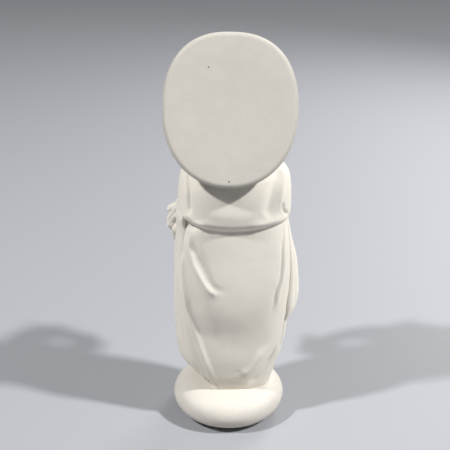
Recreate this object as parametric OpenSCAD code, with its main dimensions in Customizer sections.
// Madonna statue: a slip-cast bisque figure, assembled from separately moulded castings.
// The figure faces -Y and stands on its base, with the origin at the centre of the base's foot.
// Its own left hand is towards +X. All sizes are in millimetres.

/* [Base] */
// Largest radius of the round base
base_r = 43.5; // [41:0.5:48]
// Height of the base, which is also the diameter of its rounded rim
base_h = 27; // [24:1:30]
// Diameter of the firing vent under the base
vent_d = 3.4; // [2:0.2:3.8]

/* [Casting] */
// Wall thickness of the hollow castings
wall = 3.5; // [2.5:0.25:3.75]
// Slip seam left between castings that are luted together
seam = 0.3; // [0.1:0.1:0.4]

/* [Halo] */
// Width of the halo plate
halo_w = 93; // [80:1:100]
// Height of the halo plate, along its own face
halo_h = 106; // [96:1:112]
// Thickness of the halo plate
halo_t = 5.5; // [4:0.5:7]
// How far the halo leans forward, in degrees
halo_lean = 20.5; // [15:0.5:25]

/* [Head] */
// Height of the head, from chin to crown
head_h = 35; // [32:1:37]
// How far the head is bowed, in degrees
head_bow = 20; // [10:1:25]

/* [Child] */
// Radius of the child's head
child_head_r = 9.5; // [8.5:0.25:10]

/* [Hidden] */
bisque = [0.93, 0.91, 0.87];

// Stations of the drapery, from the bottom up: [z, to the left, to the right, to the front, to the back].
robe_stations = [[base_h, 17.5, 27, 22, 14], [40, 22, 30, 22, 17], [55, 30, 36, 22, 20],
                 [76, 35, 39, 22, 22], [97, 36, 41, 22.5, 23], [120, 36, 41, 23, 25],
                 [140, 35, 40, 23, 24], [176, 28, 34, 19, 19]];
mantle_stations = [[base_h, 22, 33, 27, 21], [40, 33, 36.5, 27, 24.5], [55, 39, 41, 27, 26.5],
                   [76, 41, 45, 27, 27], [97, 41.5, 46.5, 27.5, 28], [120, 41, 47, 28, 30],
                   [140, 40, 46, 28, 29], [162, 37, 43, 27, 26.5]];
cape_stations = [[156.5, 38.8, 44.8, 28.8, 29.8], [161, 40, 46, 30, 31.5], [168, 37.8, 45.6, 29, 30],
                 [180, 36.5, 45.5, 28, 28], [192, 36, 45, 27, 26.5], [200, 34.5, 43.5, 25, 24],
                 [206, 31, 38.5, 22, 20.5], [211, 22, 26, 17.5, 16], [214.5, 13.5, 14.5, 12.5, 12.5]];
squareness = 0.87;          // 1 is an ellipse, less is boxier
mantle_top = 160;
around = 40;                // steps round a full section

// Head, halo and child, placed by their centres
head_c = [0, -1.5, 241];
halo_c = [-1.2, 17.5, 250.5];
halo_turn = 1.4;            // degrees off upright in its own plane, as luted by hand
boss_r = 6;                 // dowel on the halo that plugs into the veil
child_head_c = [-31.5, -32, 200.5];

// Chains of [point, radius] that the rounded castings are swept along
child_trunk = [[[-27, -36, 191], 5], [[-18, -40, 184], 10.5], [[4, -42, 172], 11.5],
               [[23, -42, 166], 9.5], [[33, -38, 158], 7.5]];
child_foot_l = [[[38, -37, 158], 3.8], [[46, -37, 156], 3]];
child_foot_r = [[[38, -34, 150], 3.8], [[46, -33, 147.5], 3]];
child_arm_l = [[[-13, -46, 190], 4], [[-6, -52, 185], 3.4], [[-8, -53, 195], 2.8]];
child_arm_r = [[[-27, -47, 187], 4], [[-24, -53, 179], 3.4], [[-14, -54, 180], 2.8]];
arm_l = [[[34, -20, 158], 11], [[38, -29, 148], 9], [[36, -34, 147], 7]];
arm_r = [[[-34.5, -16, 174], 11], [[-34, -31, 169], 11], [[-23, -42, 167], 9]];

// --- surfaces -----------------------------------------------------------------------------------

function between(t, z, i = 0) = (i >= len(t) - 2 || z < t[i + 1][0]) ? i : between(t, z, i + 1);
function spline(a, b, c, d, u) =
    0.5 * (2 * b + (c - a) * u + (2 * a - 5 * b + 4 * c - d) * u * u + (3 * b - a - 3 * c + d) * u * u * u);

// The section of a station table at height z, smoothed through the stations.
function station(t, z) =
    let (i = between(t, z), n = len(t) - 1, u = (z - t[i][0]) / (t[i + 1][0] - t[i][0]))
    let (s = spline(t[max(i - 1, 0)], t[i], t[i + 1], t[min(i + 2, n)], u))
    [s[1], s[2], s[3], s[4]];

function bowed(c) = sign(c) * pow(abs(c), squareness);

// A point of a section at an angle: 0 is the figure's left, 90 its back, 180 its right.
function section_point(s, angle, z) =
    [bowed(cos(angle)) * (cos(angle) > 0 ? s[0] : s[1]), bowed(sin(angle)) * (sin(angle) > 0 ? s[3] : s[2]), z];

function flat(rows) = [for (row = rows) for (p = row) p];

// A wall between an outer and an inner sheet of points, both given in rows from the bottom up.
module sheet_wall(outer, inner, closed) {
    rows = len(outer);
    n = len(outer[0]);
    cells = closed ? n : n - 1;
    function id(side, k, i) = (side * rows + k) * n + i % n;
    skins = [for (k = [0:rows - 2]) for (i = [0:cells - 1]) each [
        [id(0, k, i), id(0, k + 1, i), id(0, k + 1, i + 1)], [id(0, k, i), id(0, k + 1, i + 1), id(0, k, i + 1)],
        [id(1, k, i), id(1, k + 1, i + 1), id(1, k + 1, i)], [id(1, k, i), id(1, k, i + 1), id(1, k + 1, i + 1)]]];
    top = rows - 1;
    rims = [for (i = [0:cells - 1]) each [
        [id(0, 0, i), id(0, 0, i + 1), id(1, 0, i + 1)], [id(0, 0, i), id(1, 0, i + 1), id(1, 0, i)],
        [id(0, top, i), id(1, top, i + 1), id(0, top, i + 1)], [id(0, top, i), id(1, top, i), id(1, top, i + 1)]]];
    last = n - 1;
    edges = closed ? [] : [for (k = [0:rows - 2]) each [
        [id(0, k, 0), id(1, k, 0), id(1, k + 1, 0)], [id(0, k, 0), id(1, k + 1, 0), id(0, k + 1, 0)],
        [id(0, k, last), id(1, k + 1, last), id(1, k, last)], [id(0, k, last), id(0, k + 1, last), id(1, k + 1, last)]]];
    polyhedron(concat(flat(outer), flat(inner)), concat(skins, rims, edges));
}

// A filled body of a station table between two heights, grown outwards by a margin.
module filled(table, z0, z1, margin = 0) {
    rows = [for (k = [0:10]) let (z = z0 + (z1 - z0) * k / 10)
        [for (i = [0:around - 1]) section_point(station(table, z) + [1, 1, 1, 1] * margin, i * 360 / around, z)]];
    n = around;
    skins = [for (k = [0:9]) for (i = [0:n - 1]) let (j = (i + 1) % n) each [
        [k * n + i, (k + 1) * n + i, (k + 1) * n + j], [k * n + i, (k + 1) * n + j, k * n + j]]];
    polyhedron(flat(rows), concat(skins, [[for (i = [0:n - 1]) i]], [[for (i = [n - 1:-1:0]) 10 * n + i]]));
}

// Everything that the small castings in front are fitted against.
module body_mass() {
    filled(mantle_stations, base_h, mantle_top, seam);
    filled(cape_stations, 156.5, 214.5, seam);
}

// A limb that tapers between two balls.
module limb(a, ra, b, rb) {
    hull() {
        translate(a) sphere(ra, $fn = 16);
        translate(b) sphere(rb, $fn = 16);
    }
}

// A chain of limbs through [point, radius] pairs.
module limbs(chain) {
    for (i = [0:len(chain) - 2]) limb(chain[i][0], chain[i][1], chain[i + 1][0], chain[i + 1][1]);
}

// Fits a small casting: its first child loses what the other children fill, as one mesh.
module fitted() {
    resize([0, 0, 0]) difference() {
        children(0);
        children([1:$children - 1]);
    }
}

// --- the castings -------------------------------------------------------------------------------

// Round hollow base with a bullnose rim, a collar that locates the robe, and a vent in its flat foot.
module base() {
    rim = base_h / 2;
    collar_r = 12;
    collar_h = 5;
    vent_y = 18;
    color(bisque) difference() {
        union() {
            rotate_extrude($fn = 96) difference() {
                bullnose(rim);
                translate([0, wall]) bullnose(rim - wall);
            }
            translate([0, 0, base_h]) cylinder(h = collar_h, r = collar_r, $fn = 64);
        }
        translate([0, vent_y, -1]) cylinder(h = wall + 2, d = vent_d, $fn = 32);
        translate([0, 0, base_h - wall - 1]) cylinder(h = collar_h + wall + 2, r = collar_r - wall, $fn = 64);
    }
}

// Half section of a disc whose rim is a half round of the given radius.
module bullnose(r) {
    flat_r = base_r - base_h / 2;
    square([flat_r, 2 * r]);
    translate([flat_r, r]) intersection() {
        circle(r, $fn = 96);
        translate([0, -r]) square([r, 2 * r]);
    }
}

// Hollow dress that carries the figure, open below and above.
module robe() {
    heights = [base_h, 34, 41, 48, 56, 66, 78, 92, 106, 122, 140, 158, 176];
    function folds(a) = 0.7 * cos(14 * a) * (sin(a) < -0.35 ? 1 : 0);
    function ring(z, inset) = [for (i = [0:around - 1]) let (a = i * 360 / around)
        section_point(station(robe_stations, z) + [1, 1, 1, 1] * (folds(a) - inset), a, z)];
    color(bisque) sheet_wall([for (z = heights) ring(z, 0)], [for (z = heights) ring(z, wall)], true);
}

// Where the cloak's left border runs, as an angle, at height z.
function cloak_border(z) = lookup(z, [[base_h, 66], [48, 56], [90, 45], [mantle_top, 38]]);

// Back and right side of the mantle, from its left border round to the front.
module cloak() {
    rows = 14;
    steps = 26;
    front = 238;
    function point(u, k, inset) = let (z = base_h + (mantle_top - base_h) * k / rows, b = cloak_border(z) + 0.6)
        section_point(station(mantle_stations, z) - [1, 1, 1, 1] * inset, b + (front - b) * u, z);
    color(bisque) sheet_wall([for (k = [0:rows]) [for (i = [0:steps]) point(i / steps, k, 0)]],
                             [for (k = [0:rows]) [for (i = [0:steps]) point(i / steps, k, wall)]], false);
}

// Left panel of the mantle. Its hem is lifted in front and slants down to the base at the side.
module mantle_fall_left() {
    rows = 12;
    steps = 14;
    front = -62;
    corner_z = 49;
    function hem(u) = corner_z + (base_h - corner_z) * pow(min(1, u / 0.5), 1.3);
    function point(u, k, inset) = let (z = hem(u) + (mantle_top - hem(u)) * k / rows, b = cloak_border(z) - 0.2)
        section_point(station(mantle_stations, z) - [1, 1, 1, 1] * inset, front + (b - front) * u, z);
    color(bisque) sheet_wall([for (k = [0:rows]) [for (i = [0:steps]) point(i / steps, k, 0)]],
                             [for (k = [0:rows]) [for (i = [0:steps]) point(i / steps, k, wall)]], false);
}

// Fold of the mantle that hangs from the right forearm, outside the cloak.
module mantle_fall_right() {
    rows = 10;
    steps = 10;
    hem_z = 86;
    top_z = 154;
    function swell(k) = lookup(k / rows, [[0, 1.5], [0.2, 6], [0.6, 4.5], [1, 1.2]]);
    function point(u, k, out) = let (z = hem_z + (top_z - hem_z) * k / rows, a = 166 + 62 * u)
        section_point(station(mantle_stations, z) + [1, 1, 1, 1] * out, a, z);
    color(bisque) sheet_wall(
        [for (k = [0:rows]) [for (i = [0:steps]) point(i / steps, k, seam + swell(k) * sin(180 * i / steps) + 0.6)]],
        [for (k = [0:rows]) [for (i = [0:steps]) point(i / steps, k, seam)]], false);
}

// Shoulders, upper arms and shoulder cape, one hollow casting. Its rolled hem overhangs the mantle,
// and a ledge inside it rests on the mantle's top edge.
module cape() {
    heights = [156.5, 158.5, 161, 164.5, 168, 174, 180, 187, 194, 200, 204, 207.5, 211, 214.5];
    ledge = 2.5;
    function outside(z) = [for (i = [0:around - 1]) section_point(station(cape_stations, z), i * 360 / around, z)];
    function inside(z, grow, table) = [for (i = [0:around - 1])
        section_point(station(table, z) + [1, 1, 1, 1] * grow, i * 360 / around, z)];
    color(bisque) sheet_wall([for (z = heights) outside(z)],
        [inside(heights[0], seam, mantle_stations), inside(mantle_top, seam, mantle_stations),
         inside(mantle_top, -ledge, mantle_stations), for (k = [3:13]) inside(heights[k], -wall, cape_stations)], true);
}

module in_head_frame() {
    translate(head_c) rotate([head_bow, 0, 0]) children();
}

// The ball of the head and the jaw, grown by a margin.
module face_form(margin) {
    in_head_frame() hull() {
        translate([0, 1, head_h * 0.13]) scale([0.8, 0.97, 0.86]) sphere(head_h * 0.42 + margin, $fn = 28);
        translate([0, -5.5, -head_h * 0.26]) scale([0.85, 0.8, 0.9]) sphere(head_h * 0.26 + margin, $fn = 20);
    }
}

// Bowed head on its neck, which plugs into the collar of the cape.
module head() {
    nose_r = 2.4;
    plug_r = 9;
    color(bisque) fitted() {
        union() {
            face_form(0);
            in_head_frame() translate([0, -head_h * 0.385, -head_h * 0.06]) scale([0.6, 1, 1.6]) sphere(nose_r, $fn = 12);
            translate([0, 0, 208]) cylinder(h = 8, r = plug_r, $fn = 40);
            limb([0, 0, 214], plug_r - 1.5, head_c + [0, 1, -9], 7);
        }
        halo_plate(seam);
    }
}

// Veil over the crown and down both sides of the neck, resting on the shoulders.
module veil() {
    color(bisque) fitted() {
        union() {
            in_head_frame() hull() {
                translate([0, 3, head_h * 0.12]) scale([0.84, 0.95, 0.9]) sphere(head_h * 0.48, $fn = 28);
                translate([0, 7, -head_h * 0.3]) scale([1.15, 0.7, 0.9]) sphere(head_h * 0.38, $fn = 24);
            }
            hull() {
                translate(head_c + [0, 6, -10]) scale([1.25, 0.7, 1]) sphere(12, $fn = 24);
                translate([0, 5, 208]) scale([1.75, 0.95, 0.5]) sphere(12, $fn = 24);
            }
        }
        face_form(seam);
        in_head_frame() translate([0, -21, -7]) scale([0.8, 1, 1.25]) sphere(17, $fn = 24);
        translate([0, -16, 212]) scale([0.85, 1.3, 1.1]) sphere(12, $fn = 20);
        translate([0, 0, 200]) cylinder(h = 22, r = 9 + seam, $fn = 40);
        filled(cape_stations, 156.5, 214.5, seam);
        halo_plate(seam);
        halo_boss(seam);
    }
}

// Outline of the halo: an egg, fuller above than below.
function halo_outline(inset) = [for (i = [0:55]) let (
    a = i * 360 / 56,
    power = sin(a) > 0 ? 2 / 2.4 : 2 / 2.12)
    [sign(cos(a)) * pow(abs(cos(a)), power) * (halo_w / 2 - inset),
     sign(sin(a)) * pow(abs(sin(a)), power) * (halo_h / 2 - inset)]];

module in_halo_frame() {
    translate(halo_c) rotate([90 + halo_lean, 0, 0]) rotate([0, 0, halo_turn]) children();
}

// The halo plate in its place, grown by a margin: both faces are flat and the rim is rounded.
module halo_plate(margin) {
    edge = halo_t / 2;
    in_halo_frame() hull()
        for (a = [0, 30, 60, 90]) translate([0, 0, -edge * sin(a) - margin])
            linear_extrude(2 * (edge * sin(a) + margin)) polygon(halo_outline(edge * (1 - cos(a)) - margin));
}

module halo_boss(margin) {
    in_halo_frame() translate([0, -11, 0]) cylinder(h = halo_t / 2 + 4 + margin, r = boss_r + margin, $fn = 40);
}

// Halo plate with the dowel that plugs into the back of the veil.
module halo() {
    color(bisque) resize([0, 0, 0]) union() {
        halo_plate(0);
        halo_boss(0);
    }
}

module sleeve_left() {
    color(bisque) fitted() {
        limbs(arm_l);
        body_mass();
        child_mass();
    }
}

module sleeve_right() {
    color(bisque) fitted() {
        limbs(arm_r);
        body_mass();
        child_mass();
    }
}

// A hand: a palm and four fingers of two joints each, laid along a direction and bent towards another.
module hand_shape(wrist, along, across, bend) {
    knuckle = wrist + along * 9;
    limb(wrist, 4, knuckle - across * 2.5, 3.4);
    limb(wrist, 4, knuckle + across * 2.5, 3.4);
    for (f = [-1.5:1:1.5]) {
        root = knuckle + across * f * 3;
        middle = root + along * 5;
        limb(root, 1.9, middle, 1.7);
        limb(middle, 1.7, middle + along * 2.5 + bend * 4, 1.4);
    }
}

module hand_left() {
    color(bisque) fitted() {
        hand_shape([37, -36, 142], [0.5, -0.6, 0.1], [0.75, 0.6, 0.2], [0.1, -0.2, 0.9]);
        body_mass();
        limbs(grown(arm_l));
        child_mass();
    }
}

module hand_right() {
    color(bisque) fitted() {
        hand_shape([-16, -48, 165], [0.93, -0.2, 0.1], [0.1, 0.25, 0.95], [0.5, 0.5, 0]);
        body_mass();
        limbs(grown(arm_r));
        child_mass();
    }
}

// A chain with a seam's width added to every radius.
function grown(chain) = [for (c = chain) [c[0], c[1] + seam]];

// The child without its arms, grown by a seam.
module child_mass() {
    limbs(grown(child_trunk));
    limbs(grown(child_foot_l));
    limbs(grown(child_foot_r));
    child_head_ball(seam);
}

module child_head_ball(margin) {
    translate(child_head_c) sphere(child_head_r + margin, $fn = 24);
}

// The child in its long tunic, lying across both arms.
module child_tunic() {
    color(bisque) fitted() {
        limbs(child_trunk);
        body_mass();
        child_head_ball(seam);
        limbs(grown(child_foot_l));
        limbs(grown(child_foot_r));
    }
}

module child_head() {
    color(bisque) fitted() {
        child_head_ball(0);
        body_mass();
    }
}

// A child's arm from the shoulder to the fingertips.
module child_arm(chain) {
    fitted() {
        limbs(chain);
        body_mass();
        limbs(grown(child_trunk));
        child_head_ball(seam);
    }
}

module child_arm_left() {
    color(bisque) child_arm(child_arm_l);
}

module child_arm_right() {
    color(bisque) child_arm(child_arm_r);
}

module child_foot_left() {
    color(bisque) fitted() {
        limbs(child_foot_l);
        body_mass();
    }
}

module child_foot_right() {
    color(bisque) fitted() {
        limbs(child_foot_r);
        body_mass();
        limbs(grown(child_foot_l));
    }
}

base();
robe();
cloak();
mantle_fall_left();
mantle_fall_right();
cape();
head();
veil();
halo();
sleeve_left();
sleeve_right();
hand_left();
hand_right();
child_tunic();
child_head();
child_arm_left();
child_arm_right();
child_foot_left();
child_foot_right();
